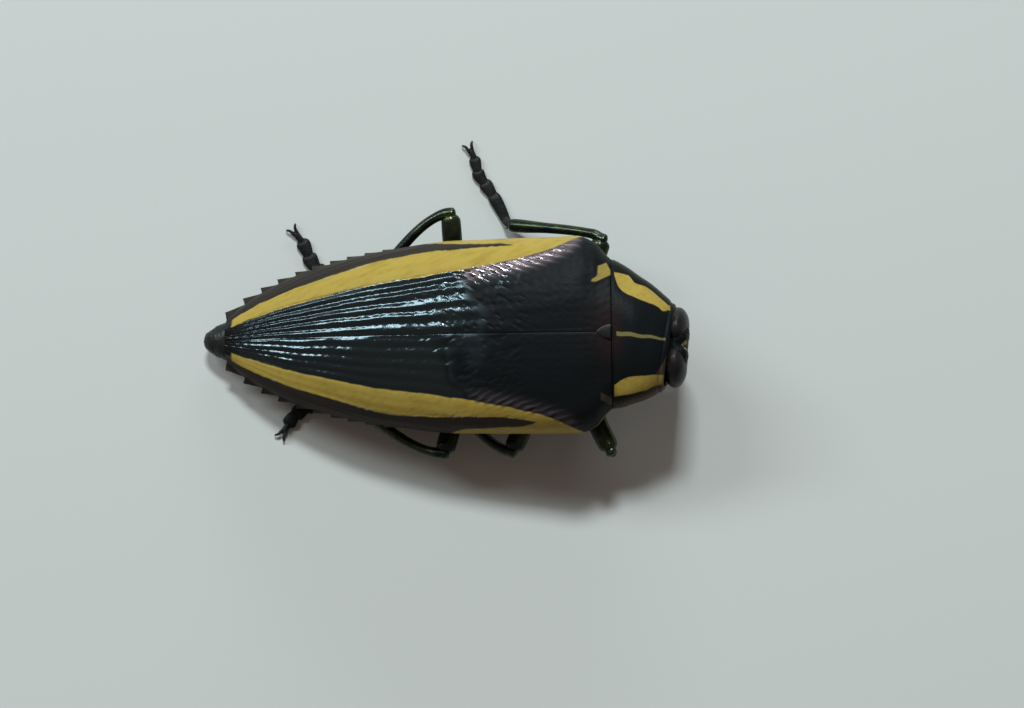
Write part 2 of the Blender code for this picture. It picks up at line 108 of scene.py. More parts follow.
def ripple(x, y, seed):
    """Smooth random heights from -1 to 1: seeded values at whole numbers, blended by 3t^2 - 2t^3."""
    table = np.random.default_rng(seed).uniform(-1, 1, (64, 64))
    i, j = np.floor(x).astype(int), np.floor(y).astype(int)
    u, v = x - i, y - j
    u, v = u * u * (3 - 2 * u), v * v * (3 - 2 * v)
    near = table[i % 64, j % 64] * (1 - v) + table[i % 64, (j + 1) % 64] * v
    far = table[(i + 1) % 64, j % 64] * (1 - v) + table[(i + 1) % 64, (j + 1) % 64] * v
    return near * (1 - u) + far * u


def pits(x, y, radius, seed):
    """Round pits, one in each unit cell at a random place: exp(-(distance / radius)^2)."""
    table = np.random.default_rng(seed).uniform(-0.22, 0.22, (2, 64, 64))
    i, j = np.floor(x).astype(int), np.floor(y).astype(int)
    dx = x - i - 0.5 - table[0][i % 64, j % 64]
    dy = y - j - 0.5 - table[1][i % 64, j % 64]
    return np.exp(-(dx * dx + dy * dy) / radius**2)


def dip(distance, width):
    """A rounded groove: 1 in its middle, exp(-(distance / width)^2)."""
    return np.exp(-((distance / width) ** 2))


def step_up(low, high, value):
    """0 below low, 1 above high, and 3t^2 - 2t^3 between."""
    t = np.clip((value - low) / (high - low), 0, 1)
    return t * t * (3 - 2 * t)


def from_body(points):
    """Body frame to the row's frame.

    x' = x cos p - z sin p and z' = x sin p + z cos p for the pitch p, then a yaw, and the body's place.
    """
    c, s = math.cos(BODY_PITCH), math.sin(BODY_PITCH)
    x, y, z = np.moveaxis(points, -1, 0)
    x, z = x * c - z * s, x * s + z * c
    c, s = math.cos(BODY_YAW), math.sin(BODY_YAW)
    return np.stack([x * c - y * s, x * s + y * c, z], -1) + body_place


# The cases' foremost low corners and the shield between them fix the body frame's place
left_box, right_box, shield_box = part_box("elytron_left"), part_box("elytron_right"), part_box("scutellum")
corner_reach = -CASE_START * CASE_LENGTH * math.cos(BODY_PITCH) + 0.12 * math.sin(BODY_PITCH)
body_place = np.array([
    (left_box[1][0] + right_box[1][0]) * 500 - corner_reach,
    (shield_box[0][1] + shield_box[1][1]) * 500,
    MARGIN_HEIGHT,
])


def make_piece(name, bodies, finish, nodes, marks=None, crease=50):
    """One mesh of closed bodies, each an array (rings, points, 3) in millimetres of the row's frame.

    Quads join each ring to the next and a flat face closes each end. Where a sixth of the sum of a . (b x c + c x d)
    over the quads, the volume, is negative, the faces are turned over. marks are numbers kept at the points.
    """
    points, faces, first = [], [], 0
    for rings in bodies:
        rows, count = rings.shape[:2]
        at = np.arange(rows * count).reshape(rows, count)
        beside = np.roll(at, -1, axis=1)
        quads = np.stack([at[:-1], beside[:-1], beside[1:], at[1:]], -1).reshape(-1, 4)
        flat = rings.reshape(-1, 3)
        a, b, c, d = np.moveaxis(flat[quads] - flat.mean(axis=0), 1, 0)
        turned = np.sum(a * (np.cross(b, c) + np.cross(c, d))) < 0
        ends = [at[0, ::-1] + first, at[-1] + first]
        quads = quads + first
        faces += (quads[:, ::-1] if turned else quads).tolist()
        faces += [(end[::-1] if turned else end).tolist() for end in ends]
        points.append(flat)
        first += rows * count
    mesh = bpy.data.meshes.new(name)
    mesh.from_pydata((np.concatenate(points) * MM).tolist(), [], faces)
    mesh.shade_smooth()
    mesh.set_sharp_from_angle(angle=math.radians(crease))
    for mark, values in (marks or {}).items():
        numbers = np.concatenate([np.ravel(value) for value in values]).astype(np.float32)
        mesh.attributes.new(mark, "FLOAT", "POINT").data.foreach_set("value", numbers)
    mesh.materials.append(finish)
    piece = bpy.data.objects.new(name, mesh)
    bpy.context.scene.collection.objects.link(piece)
    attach(piece, "root")
    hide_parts(*nodes)


class Signal:
    """A socket in a material. Arithmetic on it adds Math nodes, and node() adds any other node."""

    def __init__(self, tree, socket=None):
        self.tree, self.socket = tree, socket

    def node(self, kind, settings=None, sockets=None, output=0):
        made = self.tree.nodes.new(kind)
        for setting, value in (settings or {}).items():
            setattr(made, setting, value)
        for key, value in (sockets or {}).items():
            if isinstance(value, Signal):
                self.tree.links.new(value.socket, made.inputs[key])
            else:
                made.inputs[key].default_value = value
        return Signal(self.tree, made.outputs[output])

    def math(self, operation, *values):
        return self.node("ShaderNodeMath", {"operation": operation}, dict(enumerate(values)))

    def __add__(self, other):
        return self.math("ADD", self, other)

    def __sub__(self, other):
        return self.math("SUBTRACT", self, other)

    def __rsub__(self, other):
        return self.math("SUBTRACT", other, self)

    def __mul__(self, other):
        return self.math("MULTIPLY", self, other)

    __radd__, __rmul__ = __add__, __mul__

    def ease(self, low, high):
        """0 below low, 1 above high, smooth between."""
        return self.node("ShaderNodeMapRange", {"interpolation_type": "SMOOTHSTEP"}, {0: self, 1: low, 2: high})

    def mix(self, first, second):
        """The colour that goes from first to second as this signal goes from 0 to 1."""
        sockets = {0: self, 6: first, 7: second}
        return self.node("ShaderNodeMix", {"data_type": "RGBA"}, sockets, output=2)

    def mark(self, name):
        return self.node("ShaderNodeAttribute", {"attribute_name": name}, output=2)

    def noise(self, scale, detail=3, rough=0.55, slant=None, stretch=1.0):
        """Soft noise with this many waves to the millimetre, drawn out along a slant in degrees."""
        place = self.node("ShaderNodeTexCoord", output=3)
        if slant is not None:
            turned = self.node("ShaderNodeMapping", None, {"Vector": place, "Rotation": (0, 0, -math.radians(slant))})
            place = self.node("ShaderNodeMapping", None, {"Vector": turned, "Scale": (1 / stretch, 1, 1)})
        return self.node("ShaderNodeTexNoise", None,
                         {"Vector": place, "Scale": scale * 1000, "Detail": detail, "Roughness": rough})

    def cells(self, scale):
        """Distance to the nearest of many scattered points, with this many to the millimetre."""
        place = self.node("ShaderNodeTexCoord", output=3)
        return self.node("ShaderNodeTexVoronoi", None, {"Vector": place, "Scale": scale * 1000})

    def bump(self, depth):
        """A normal from this signal as a height, depth millimetres tall."""
        return self.node("ShaderNodeBump", None, {"Strength": 1.0, "Distance": depth * MM, "Height": self})


def new_finish(name, roughness, level=0.5):
    """A material, its Principled shader's sockets, and an empty signal to build on."""
    material = bpy.data.materials.new(name)
    material.use_nodes = True
    sockets = material.node_tree.nodes["Principled BSDF"].inputs
    sockets["Roughness"].default_value = roughness
    sockets["Specular IOR Level"].default_value = level
    return material, sockets, Signal(material.node_tree)


def feed(sockets, **signals):
    """Links signals to the shader's sockets, whose names are written with underscores."""
    for name, signal in signals.items():
        signal.tree.links.new(signal.socket, sockets[name.replace("_", " ")])


# The rear horn is polished and mirrors blue-green; towards the base it turns dull and nearly black
HORN_REAR = (0.058, 0.082, 0.090, 1)
HORN_DULL = (0.0070, 0.0088, 0.0098, 1)
# The violet colour is the horn's own violet tint, raised to a bright pink-white that paints highlight glints
HORN_VIOLET_GLINT = (0.42, 0.34, 0.36, 1)
HORN_BROWN = (0.032, 0.027, 0.022, 1)
HORN_RED = (0.022, 0.011, 0.011, 1)
HORN_GREEN = (0.022, 0.026, 0.013, 1)
HORN_TAN = (0.085, 0.058, 0.042, 1)
YELLOW = (0.41, 0.305, 0.064, 1)
YELLOW_DEEP = (0.32, 0.225, 0.040, 1)
LINE_PAINT = (0.16, 0.145, 0.055, 1)
FROST = (0.36, 0.33, 0.25, 1)

wing_case, sockets, start = new_finish("wing_case_horn", 0.22, 0.06)
speckle = start.noise(1.1)
grain = start.noise(9, 4)
edge = start.mark("yellow_mm") + (speckle - 0.5) * 0.16
yellow = edge.ease(-0.05, 0.05)
polish = start.mark("polish")
gloss = (polish + start.mark("violet_glint")).ease(0, 1)
horn = polish.ease(0.1, 0.7).mix(HORN_DULL, HORN_REAR)
# Along the band the violet colour is partly a painted highlight: bright and mirror-like on the dash crests of the
# left case
horn = start.mark("violet_glint").mix(horn, HORN_VIOLET_GLINT)
horn = start.mark("brown").mix(horn, HORN_BROWN)
horn = start.mark("red").mix(horn, HORN_RED)
brushed = start.noise(4, 4, 0.55, 25, 5.0)
paint = (start.noise(0.8) * 0.5 + brushed * 0.6).ease(0.3, 0.62).mix(YELLOW_DEEP, YELLOW)
paint = start.mark("pale").mix(paint, HORN_BROWN)
frost = (start.mark("frost") * (brushed * 2.4 - 0.55)).ease(0.1, 0.6)
skin_bump = (start.cells(7).ease(0.05, 0.35) * 0.5 + grain * 0.35).bump(0.007)
feed(
    sockets,
    Base_Color=frost.mix(yellow.mix(horn, paint), FROST),
    Metallic=(1 - yellow) * gloss.ease(0, 0.4) * 0.9,
    Roughness=(1 - yellow) * (1 - gloss.ease(0, 0.6)) * 0.30 + yellow * 0.14 + grain * 0.10 + 0.11,
    Normal=skin_bump,
)

# By the distance behind the base, as shares of the half width: the yellow band's inner edge, and the two edges of
# the dark wedge beside it. The wedge starts further forward on the right case.
band_inner = smooth((1.75, 1.0), (2.15, 0.96), (3.1, 0.885), (3.9, 0.835), (5.2, 0.775), (6.4, 0.731), (7.9, 0.688),
                    (9.6, 0.645), (11.3, 0.612), (13.6, 0.60), (15.3, 0.575), (17.7, 0.53), (19.8, 0.50),
                    (21.3, 0.475), (22.8, 0.45), (23.7, 0.44))
band_outer = ((13.6, 0.865), (15.3, 0.838), (16.8, 0.80), (18.3, 0.771), (19.8, 0.758), (21.3, 0.735), (22.8, 0.72),
              (23.6, 0.71))
wedges = {
    "elytron_left": (1, 5.9, smooth((5.9, 0.906), (7.0, 0.896), (8.3, 0.893), (9.6, 0.881), (11.3, 0.874),
                                    *band_outer),
                     smooth((5.9, 0.908), (7.06, 0.93), (8.3, 0.938), (9.6, 0.95), (11.6, 1.0), (12, 1.2))),
    "elytron_right": (-1, 4.4, smooth((4.4, 0.89), (5.4, 0.86), (6.4, 0.84), (8.7, 0.84), (11.4, 0.853), *band_outer),
                      smooth((4.4, 0.892), (4.8, 0.91), (5.7, 0.933), (8, 0.953), (10, 1.0), (10.5, 1.2))),
}
rib_height = smooth((0, 0.003), (3, 0.004), (7, 0.007), (9.5, 0.024), (11.5, 0.030), (20, 0.034), (24.2, 0.012))
dent_depth = smooth((0, 0.003), (4, 0.005), (6.5, 0.038), (9.5, 0.032), (12, 0.016), (15, 0.01), (24.2, 0.005))
BAND_END = 23.75

backs = CASE_LENGTH * np.linspace(CASE_START, 1, CASE_ROWS)[:, None]
share = backs / CASE_LENGTH
notch = np.maximum(0, 1 - backs / SCUTELLUM_LENGTH)
seam = SEAM + (SCUTELLUM_HALF_WIDTH + SEAM) * notch
half_width = CASE_HALF_WIDTH * case_width(share)
from_tip = (CASE_LENGTH - backs) / TOOTH_STEP
tooth = np.floor(from_tip + 1e-6)
tooth_size = np.where(tooth < TOOTH_COUNT, TOOTH_HEIGHT * (1 - 0.75 * tooth / TOOTH_COUNT), 0)
saw = tooth_size * (1 - (from_tip - tooth)) ** 1.2

y, z, arc_length = even_arc(half_width - seam, CASE_RISE * case_rise(share), case_power(share), CASE_POINTS)
across = np.linspace(0, 1, CASE_POINTS)[None, :]
near_margin = step_up(0.90, 1, across)
outer = np.stack([np.broadcast_to(-backs, y.shape), y + seam, z], -1)
normal = np.cross(np.gradient(outer, axis=1), np.gradient(outer, axis=0))
normal /= np.linalg.norm(normal, axis=-1, keepdims=True)

for name, (side, wedge_point, wedge_inner, wedge_outer) in wedges.items():
    seed = 11 if side > 0 else 37
    width_share = (y + seam) / half_width
    inner_gap = (width_share - band_inner(backs)) * half_width
    wedge_gap = (width_share - wedge_inner(backs)) * half_width
    wedge = np.minimum(wedge_gap, (wedge_outer(backs) - width_share) * half_width)
    wedge = wedge - 0.3 * np.maximum(0, wedge_point - backs)
    band = np.minimum(np.minimum(inner_gap, -wedge), (BAND_END - backs) * 0.5)
    if side > 0:
        patch = np.minimum(np.minimum(3.95 - y, y - 3.06), backs - 0.44 * (y - 3.2))
        patch = np.minimum(patch, 0.80 + 0.35 * (1 - step_up(3.15, 3.45, y)) - backs)
    else:
        patch = np.minimum(np.minimum(3.95 - y, y - 3.55), 0.7 - backs)
    yellow_mm = np.maximum(band, patch)
    on_yellow = step_up(-0.1, 0.25, yellow_mm)

    # Relief: ribs, fine pits in the grooves, slanting dents across the ribs, pits near the base, shoulder knob
    wander = 0.10 * ripple(backs / 1.9, across * 7, seed + 4)
    band_across = np.mean(width_share < band_inner(backs), axis=1)
    band_across = np.convolve(np.pad(band_across, 12, mode="edge"), np.full(25, 1 / 25), "valid")[:, None]
    rib_at = across / band_across * INNER_RIBS + wander
    rib_width = arc_length * band_across / INNER_RIBS
    groove = np.round(rib_at)
    off_groove = (rib_at - groove) * rib_width
    in_strip = step_up(-0.1, 0.15, wedge_gap) * step_up(wedge_point - 0.8, wedge_point, backs)
    calm = (1 - 0.8 * on_yellow) * (1 - 0.7 * in_strip)
    fineness = np.clip(rib_width / 0.42, 0.25, 1)
    unevenness = (1 + 0.35 * ripple(backs / 0.8, groove + 3, seed + 5)) * (1 if side > 0 else 0.62)
    ribs = -rib_height(backs) * fineness * unevenness * np.cos(2 * np.pi * rib_at) * calm
    beat = np.cos(np.pi * (backs / 0.52 + groove * 0.37 + off_groove * 0.9)) ** 2
    row_pits = 0.014 * fineness * beat**2 * dip(off_groove, 0.09) * step_up(3, 8, backs)
    arc_mm = rib_at * rib_width
    dents = ripple((backs * 0.87 + arc_mm * 0.5) / 0.42, (arc_mm * 0.87 - backs * 0.5) / 0.21 + 20, seed + 1)
    basal = pits(backs / 0.55, rib_at * rib_width / 0.5, 0.3, seed + 2) * (1 - step_up(5, 10, backs))
    knob = 0.12 * dip(backs - 2.0, 1.0) * dip(width_share - 0.80, 0.11)
    hollow = 0.10 * dip(backs - 1.0, 0.8) * dip(width_share - 0.5, 0.16)
    along_band = step_up(1.6, 2.6, backs) * (1 - step_up(7.5, 9.5, backs))
    dash_beat = inner_gap * 2.4 - backs / 0.58 + 0.2 * ripple(backs / 0.9, inner_gap * 2 + 9, seed + 7)
    dash_size = 0.055 * step_up(-0.7, 0.5, ripple(backs / 0.6, inner_gap * 3 + 5, seed + 8))
    dashes = dash_size * np.cos(2 * np.pi * dash_beat) * dip(inner_gap + 0.25, 0.28) * along_band
    waves = 0.03 * ripple(backs / 2.2, rib_at / 1.7, seed + 3)
    height = ribs + waves + knob - hollow - 0.03 * dip(backs, 0.1) + dashes
    beside_band = dip(inner_gap + 0.25, 0.35) * along_band
    sunk = row_pits + dent_depth(backs) * step_up(0.1, 0.8, dents) + 0.012 * basal
    height -= sunk * calm * (1 - beside_band)
    clear_edge = step_up(0, 0.03, across) * (1 - step_up(0.95, 1, across))
    surface = outer + normal * (height * clear_edge - 0.03 * np.exp(-across * arc_length / 0.06))[..., None]
    surface[..., 1] += saw * near_margin**2
    surface[..., 0] -= 0.6 * saw * near_margin**2

    margin_y = surface[:, -1:, 1]
    rim_y = np.concatenate([margin_y - 0.03, margin_y - 0.16, np.maximum(half_width - 0.45, seam * 2)], axis=1)
    rim_z = np.broadcast_to([-0.06, -0.11, -0.13], rim_y.shape)
    inner_width = np.maximum(half_width - CASE_WALL - seam - 0.1, 0.2)
    y_in, z_in, _ = even_arc(inner_width, CASE_RISE * case_rise(share) - CASE_WALL, case_power(share), 14)
    under_y = np.concatenate([rim_y, y_in[:, ::-1] + seam], axis=1)
    under_z = np.concatenate([rim_z, z_in[:, ::-1]], axis=1)
    under = np.stack([np.broadcast_to(-backs, under_y.shape), under_y, under_z], -1)
    rings = np.concatenate([surface, under], axis=1) * (1, side, 1)
    # The base is upright, so it leans forward in the tilted frame
    rings[..., 0] += BASE_LEAN * np.maximum(rings[..., 2], 0) * np.maximum(0, 1 - backs / 5)

    def whole(values, inside=0.0):
        """A mark on the outer face, with one value on the under side."""
        return [np.pad(np.broadcast_to(values, y.shape), ((0, 0), (0, under.shape[1])), constant_values=inside)]

    rear_gloss = step_up(6.5, 12.5, backs + 1.5 * ripple(backs / 1.3, across * 6, seed + 6))
    dent_gloss = (0.95 if side > 0 else 0) * step_up(0.1, 0.6, dents) * step_up(4.8, 6.2, backs)
    dent_gloss = dent_gloss * step_up(0.25, 0.55, across)
    polish = np.maximum(rear_gloss, dent_gloss) * (1 - in_strip)
    marks = {
        "yellow_mm": whole(yellow_mm, -1.0),
        "polish": whole(polish),
        # The violet mark: the horn's violet tint along the band, strongest on the dash crests and mostly on the left
        # case, as painted highlight glints
        "violet_glint": whole((0.35 + 0.65 * step_up(0, 1, np.cos(2 * np.pi * dash_beat))) * dip(inner_gap + 0.25, 0.45)
                        * along_band * (1 if side > 0 else 0.15)),
        "brown": whole(np.maximum(in_strip, 0.7 * step_up(22.8, 24, backs))),
        "red": whole(0.8 * dip(backs, 1.2) * dip(y, 1.5)),
        "frost": whole(dip(wedge_gap + 0.06, 0.12) * step_up(6, 9, backs) * (1 - step_up(22, 23.5, backs))
                       * step_up(-0.5, 0.7, np.cos(2 * np.pi * (backs / 0.5 - wedge_gap * 3)))
                       * step_up(-0.3, 1.2, ripple(backs / 0.7, wedge_gap * 2, seed + 9))),
        "pale": whole(np.where(patch > -0.2, 0.3 if side > 0 else 0.93, 0)),
    }
    make_piece(name + "_shell", [from_body(rings)], wing_case, [name], marks)


# ---- Scutellum
# The small shield between the wing cases' front corners: one smooth black plate, rounded in front, pointed behind.

def even_mark(bodies, value):
    """A mark with one value at every point of these bodies."""
    return [np.full(body.shape[:2], float(value)) for body in bodies]


shield_along = np.linspace(0, 1, 14)[:, None]
shield_turn = np.linspace(0, 2 * math.pi, 20, endpoint=False)[None, :]
shield_half = SCUTELLUM_HALF_WIDTH * (1 - shield_along**1.6) ** 0.7 + 0.03
shield_top = CASE_RISE * case_rise(SCUTELLUM_LENGTH / CASE_LENGTH) - 0.02
shield = np.stack([
    -0.07 - (SCUTELLUM_LENGTH - 0.05) * np.broadcast_to(shield_along, (14, 20)) + BASE_LEAN * shield_top * 0.9,
    shield_half * np.cos(shield_turn),
    shield_top + 0.06 * np.sin(shield_turn) * (1 - 0.5 * shield_along),
], -1)

plain_horn, sockets, start = new_finish("body_horn", 0.34, 0.35)
grain = start.noise(10, 4)
pitting = start.cells(5.5).ease(0.08, 0.42)
feed(
    sockets,
    Base_Color=start.mark("green").mix(start.mark("brown").mix(HORN_DULL, HORN_BROWN), HORN_GREEN),
    Roughness=grain * 0.16 + start.noise(0.7) * 0.1 + 0.26,
    Normal=(pitting * start.mark("pitted") + grain * 0.25).bump(0.016),
)
make_piece("scutellum_shield", [from_body(shield)], plain_horn, ["scutellum"],
           {"pitted": even_mark([shield], 0.2)})


# ---- Chest and belly
# The trunk hangs under the wing cases: one chest plate that carries the middle and hind legs, five belly plates that
# lap like tiles, and the tail plate that looks out behind the cases. All are closed plates of pitted black horn.

TRUNK_DEPTH, TRUNK_INSET, TRUNK_POWER = 2.75, 0.3, 1.5
CHEST_LENGTH, BELLY_PLATES = 10.4, 5
TAIL_LENGTH, TAIL_HALF_WIDTH = 1.6, 1.05
TRUNK_GAP = CASE_WALL + 0.08
trunk_depth = smooth((0, 0.98), (0.2, 1), (0.42, 0.94), (0.62, 0.76), (0.83, 0.52), (1, 0.32))
chest_lean = smooth((0.1, 2.1), (1.2, 1.6), (2.6, 0.9), (4.6, 0.4), (7.2, 0), (10.4, 0))


def trunk_rings(backs, lean=0.0):
    """Rings round the trunk at these distances: the keel's superellipse, a short side, and the roof's."""
    backs = np.reshape(backs, (-1, 1))
    share = backs / CASE_LENGTH
    width = CASE_HALF_WIDTH * case_width(share)
    y_keel, z_keel, _ = even_arc(width - TRUNK_INSET, TRUNK_DEPTH * trunk_depth(share), TRUNK_POWER, 64)
    roof_rise = CASE_RISE * case_rise(share) - TRUNK_GAP
    y_roof, z_roof, _ = even_arc(width - TRUNK_GAP - 0.15, roof_rise, case_power(share), 9)
    y_half = np.concatenate([y_keel, width - TRUNK_GAP - 0.1, y_roof[:, ::-1]], axis=1)
    z_half = np.concatenate([-z_keel - 0.22, np.full_like(width, -0.2), z_roof[:, ::-1]], axis=1)
    y = np.concatenate([y_half, -y_half[:, -2:0:-1]], axis=1)
    z = np.concatenate([z_half, z_half[:, -2:0:-1]], axis=1)
    return np.stack([-backs - lean * np.clip(-z / TRUNK_DEPTH, 0, 1), y, z], -1)


def raised(rings, height):
    """Rings pushed out by a height in millimetres along their normals, the cross product of both travels."""
    around = np.roll(rings, -1, axis=1) - np.roll(rings, 1, axis=1)
    normal = np.cross(around, np.gradient(rings, axis=0))
    normal /= np.maximum(np.linalg.norm(normal, axis=-1, keepdims=True), 1e-9)
    outward = np.sign(np.sum(normal * (rings - rings.mean(axis=1, keepdims=True))))
    return rings + normal * outward * np.broadcast_to(height, rings.shape[:2])[..., None]


def pitted_marks(rings, pitted, green, brown=0.0):
    """Marks for plain horn: how pitted, green and brown it is at each point."""
    values = {"pitted": pitted, "green": green, "brown": brown}
    return {mark: [np.broadcast_to(value, rings.shape[:2])] for mark, value in values.items()}


backs = np.linspace(0.1, CHEST_LENGTH, 130)[:, None]
chest = trunk_rings(backs, chest_lean(backs))
x, y, z = np.moveaxis(chest, -1, 0)
below = 1 - step_up(-0.5, -0.1, z)
half = CASE_HALF_WIDTH * case_width(backs / CASE_LENGTH) - TRUNK_INSET
grooves = 0.07 * dip(y, 0.09) + 0.07 * dip(x + 3.3 + 0.05 * y * y, 0.09) * (1 - step_up(2.6, 3.2, abs(y)))
grooves += 0.06 * dip(abs(y) - 0.74 * half, 0.08) + 0.08 * dip(x + 8.45 + 0.12 * abs(y), 0.1)
grooves += 0.05 * dip(x + 6.0, 0.08) * step_up(0.74, 0.8, abs(y) / half)
edges = 0.07 * (dip(backs - 0.1, 0.06) + dip(backs - CHEST_LENGTH, 0.07))
waves = 0.03 * ripple(x * 1.6, y * 1.6, 5) - 0.025 * pits(x / 0.32, y / 0.32, 0.3, 6)
chest_skin = from_body(raised(chest, (waves - grooves) * below - edges))
make_piece("chest_plate", [chest_skin], plain_horn, ["pterothorax"],
           pitted_marks(chest, 0.8, 0.55 * below))

belly_edges = np.linspace(CHEST_LENGTH, CASE_LENGTH, BELLY_PLATES + 1)
for number in range(BELLY_PLATES):
    front, rear = belly_edges[number] + 0.04, belly_edges[number + 1]
    backs = np.linspace(front, rear, 46)[:, None]
    belly = trunk_rings(backs)
    x, y, z = np.moveaxis(belly, -1, 0)
    below = 1 - step_up(-0.4, 0, z)
    half = CASE_HALF_WIDTH * case_width(backs / CASE_LENGTH) - TRUNK_INSET
    lap = 0.09 * dip(backs - front, 0.28) - 0.02 * dip(backs - rear + 0.25, 0.2) + 0.06 * dip(backs - rear, 0.06)
    fold = 0.05 * dip(abs(y) - 0.86 * half, 0.1)
    dents = 0.02 * pits(x / 0.34, y / 0.3, 0.3, 8 + number) - 0.015 * ripple(x / 0.5, y / 1.1, 20 + number)
    belly_skin = from_body(raised(belly, -(fold + dents + lap) * below))
    make_piece(f"belly_plate_{number + 1}", [belly_skin], plain_horn, [f"abdomen_{number + 1}"],
               pitted_marks(belly, 0.8, 0.5 * below))

along = np.linspace(0, 1, 40)[:, None]
turn = np.linspace(0, 2 * math.pi, 64, endpoint=False)[None, :]
tail_scale = smooth((0, 1.22), (0.3, 1.12), (0.6, 0.86), (0.85, 0.56), (0.95, 0.33), (1, 0.06))(along)
tail = np.stack([
    np.broadcast_to(-CASE_LENGTH + 0.3 - (TAIL_LENGTH + 0.36) * along, (40, 64)),
    TAIL_HALF_WIDTH * tail_scale * np.cos(turn),
    0.72 * tail_scale * np.sin(turn) - 0.1,
], -1)
x, y, z = np.moveaxis(tail, -1, 0)
tail_relief = 0.03 * ripple(x * 3, y * 3, 31) - 0.03 * pits(x / 0.24, y / 0.24, 0.3, 32) - 0.06 * dip(z + 0.1, 0.06)
make_piece("tail_plate", [from_body(raised(tail, tail_relief))], plain_horn, ["abdomen_tip"],
           pitted_marks(tail, 0.4, 0.0, 0.1))


# ---- Collar (prothorax)
# The ring ahead of the wing cases, which carries the front legs: a domed plate above and a keeled one below, in one
# piece. It narrows and turns a little to the beetle's right towards the head. A yellow patch lies on each side of it
# and a thin yellow line down its middle. The head sits in a cup in its front.

COLLAR_LENGTH, COLLAR_HALF_WIDTH, COLLAR_LEAN = 3.55, 4.58, 2.1
FORE_YAW, FORE_ROLL, FORE_SHIFT = math.radians(9), math.radians(8), 0.97
collar_width = smooth((0, 1), (0.12, 0.965), (0.38, 0.87), (0.66, 0.762), (0.9, 0.635), (1, 0.568))
collar_rise = smooth((0, 2.72), (0.3, 2.68), (0.7, 2.2), (1, 1.55))
collar_depth = smooth((0, 2.75), (0.4, 2.7), (1, 2.15))


def fore_place(points, share):
    """From a cross-section's own frame, at this share of the collar, to the body frame.

    It rolls and yaws by share times the full angles, then moves along the bent axis: forward by the length times
    share, to the right by the shift times share, and up by 0.12 share.
    """
    x, y, z = np.moveaxis(points, -1, 0)
    roll, yaw = FORE_ROLL * share, FORE_YAW * share
    y, z = y * np.cos(roll) + z * np.sin(roll), z * np.cos(roll) - y * np.sin(roll)
    x, y = x * np.cos(yaw) + y * np.sin(yaw), y * np.cos(yaw) - x * np.sin(yaw)
    return np.stack([x + COLLAR_LENGTH * share, y - FORE_SHIFT * share, z + 0.12 * share], -1)


shares = np.linspace(0, 1, 110)[:, None]
y_top, z_top, _ = even_arc(COLLAR_HALF_WIDTH * collar_width(shares), collar_rise(shares), 2.15, 80)
y_low, z_low, _ = even_arc(COLLAR_HALF_WIDTH * collar_width(shares), collar_depth(shares), 1.6, 50)
y_half = np.concatenate([y_low[:, :-1], y_top[:, ::-1]], axis=1)
z_half = np.concatenate([-z_low[:, :-1], z_top[:, ::-1]], axis=1)
y = np.concatenate([y_half, -y_half[:, -2:0:-1]], axis=1)
z = np.concatenate([z_half, z_half[:, -2:0:-1]], axis=1)
x = -COLLAR_LEAN * (1 - shares) ** 2 * np.clip(-z / TRUNK_DEPTH, 0, 1) + 0.08 * (1 - shares)
x = x + BASE_LEAN * np.maximum(z, 0) * (1 - shares) - 0.12 * np.maximum(0, 1 - shares / 0.02)
relief = 0.04 * dip(shares - 0.965, 0.02) - 0.04 * dip(shares - 0.92, 0.02) - 0.03
relief = relief + 0.03 * ripple(x + shares * 4, y / 1.1, 41) - 0.10 * dip(abs(y) - 2.9, 0.6) * dip(shares - 0.3, 0.2)
relief = relief - 0.05 * step_up(1.6, 2.5, z) - 0.006 * pits((x + shares * 3.55) / 0.3, y / 0.3, 0.3, 42)
advance = np.stack([COLLAR_LENGTH * shares + 0 * y, 0 * y, 0 * y], -1)
collar = raised(np.stack([x, y, z], -1) + advance, relief) - advance
# The cup: the front ring drawn in round a point below the middle, then carried back into the collar
cup_draw = np.array([0.985, 0.95, 0.90, 0.86, 0.84, 0.84])[:, None]
cup_reach = np.array([0.03, 0.03, -0.02, -0.12, -0.4, -0.9])[:, None]
rim = collar[-1:]
cup = np.stack([rim[..., 0] + cup_reach, rim[..., 1] * cup_draw, (rim[..., 2] + 0.45) * cup_draw - 0.45], -1)
collar = fore_place(np.concatenate([collar, cup]), np.concatenate([shares, np.ones((6, 1))]))
collar_skin = from_body(collar)

# Patch edges, seen from above: millimetres ahead of the cases' base and beside the middle
left_outer = smooth((0.05, 3.79), (0.89, 3.61), (1.31, 3.12), (1.97, 2.91), (2.64, 2.40), (3.33, 1.80))
left_inner = smooth((0.0, 3.70), (0.26, 2.91), (0.65, 2.52), (1.31, 2.19), (2.64, 1.68), (3.0, 1.44), (3.33, 1.50))
right_inner = smooth((0.11, 3.02), (0.41, 2.78), (0.95, 2.59), (1.61, 2.53), (2.94, 2.44), (3.42, 2.57))
right_outer = smooth((0.05, 3.74), (0.65, 3.65), (1.31, 3.50), (1.97, 3.35), (2.4, 3.14), (3.33, 2.90))
ahead, beside = collar_skin[..., 0] - body_place[0], collar_skin[..., 1] - body_place[1] + BODY_SHIFT
reach = np.minimum(ahead - 0.03, 3.42 - ahead)
left_patch = np.minimum(left_outer(ahead) - beside, beside - left_inner(ahead))
right_patch = np.minimum(right_outer(ahead) + beside, -beside - right_inner(ahead))
middle = 0.14 - 0.02 * ahead - abs(beside - 0.05 + 0.11 * ahead + 0.03 * np.sin(ahead * 5))
upper = np.concatenate([np.broadcast_to(z, y.shape), np.full((6, y.shape[1]), -1.0)])
patches = np.minimum(np.maximum(left_patch, right_patch), np.minimum(reach, upper * 4))
middle = np.minimum(middle, np.minimum(np.minimum(reach - 0.1, 3.1 - ahead), upper - 1))
flank = (1 - step_up(0.3, 1.5, upper)) * step_up(-1.5, -0.3, upper)
tan = np.maximum(0.9 * flank, 0.6 * step_up(1.6, 3.2, ahead)) * step_up(0, 1, -beside) * step_up(-1.5, -0.3, upper)
tan = np.where((patches > 0) | (upper < 1.5), tan, 0)

